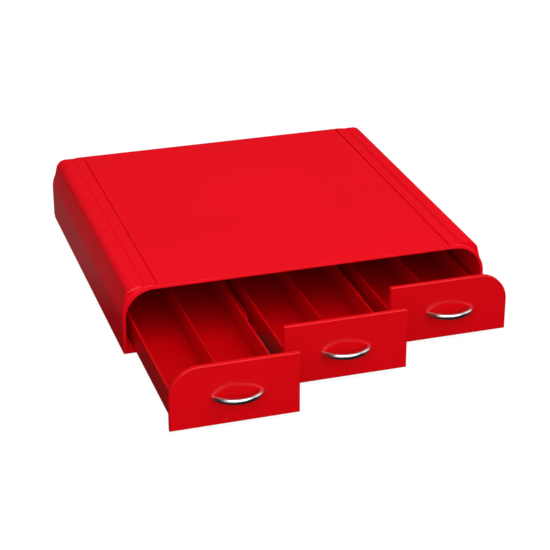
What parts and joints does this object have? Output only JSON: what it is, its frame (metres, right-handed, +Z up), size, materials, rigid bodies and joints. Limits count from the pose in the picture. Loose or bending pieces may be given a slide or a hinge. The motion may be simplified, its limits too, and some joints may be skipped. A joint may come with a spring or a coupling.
{
  "type": "drawer organizer",
  "caption": "Low countertop organizer with side-by-side sliding drawers for coffee pods, a flat top with shoulder rails and a chrome bow pull on each drawer.",
  "frame": {"origin": "middle of the footprint of casing and open drawers, on the surface that the feet stand on", "axes": "+Z up, -Y the way the drawers open, +X to the right seen from the front"},
  "size_m": [0.33, 0.4766, 0.0614],
  "materials": {
    "casing_plastic": "satin-gloss moulded red",
    "drawer_plastic": "gloss moulded red",
    "pull_chrome": "polished chrome plating",
    "screw_steel": "zinc-plated",
    "foot_rubber": "matt black"
  },
  "bodies": {
    "casing": {"casing_shell": "casing_plastic", "base_plate": "casing_plastic", "back_panel": "casing_plastic", "rail_plug_left": "casing_plastic", "rail_plug_right": "casing_plastic", "guide_rail_left": "casing_plastic", "guide_rail_right": "casing_plastic", "foot_front_left": "foot_rubber", "foot_front_right": "foot_rubber", "foot_back_left": "foot_rubber", "foot_back_right": "foot_rubber", "base_screw_1": "screw_steel", "base_screw_2": "screw_steel", "base_screw_3": "screw_steel", "base_screw_4": "screw_steel", "base_screw_5": "screw_steel", "base_screw_6": "screw_steel", "base_screw_7": "screw_steel", "base_screw_8": "screw_steel", "base_screw_9": "screw_steel", "base_screw_10": "screw_steel"},
    "left_drawer": {"left_tray": "drawer_plastic", "left_lane_divider": "drawer_plastic", "left_drawer_front": "drawer_plastic", "left_handle_bow": "pull_chrome", "left_handle_screw_a": "screw_steel", "left_handle_screw_b": "screw_steel"},
    "middle_drawer": {"middle_tray": "drawer_plastic", "middle_lane_divider": "drawer_plastic", "middle_drawer_front": "drawer_plastic", "middle_handle_bow": "pull_chrome", "middle_handle_screw_a": "screw_steel", "middle_handle_screw_b": "screw_steel"},
    "right_drawer": {"right_tray": "drawer_plastic", "right_lane_divider": "drawer_plastic", "right_drawer_front": "drawer_plastic", "right_handle_bow": "pull_chrome", "right_handle_screw_a": "screw_steel", "right_handle_screw_b": "screw_steel"}
  },
  "joints": [
    {"name": "left_drawer_slide", "type": "slide", "parent": "casing", "child": "left_drawer", "axis": [0, -1, 0], "range_m": [-0.145, 0.095]},
    {"name": "middle_drawer_slide", "type": "slide", "parent": "casing", "child": "middle_drawer", "axis": [0, -1, 0], "range_m": [-0.1, 0.14]},
    {"name": "right_drawer_slide", "type": "slide", "parent": "casing", "child": "right_drawer", "axis": [0, -1, 0], "range_m": [-0.058, 0.182]}
  ]
}
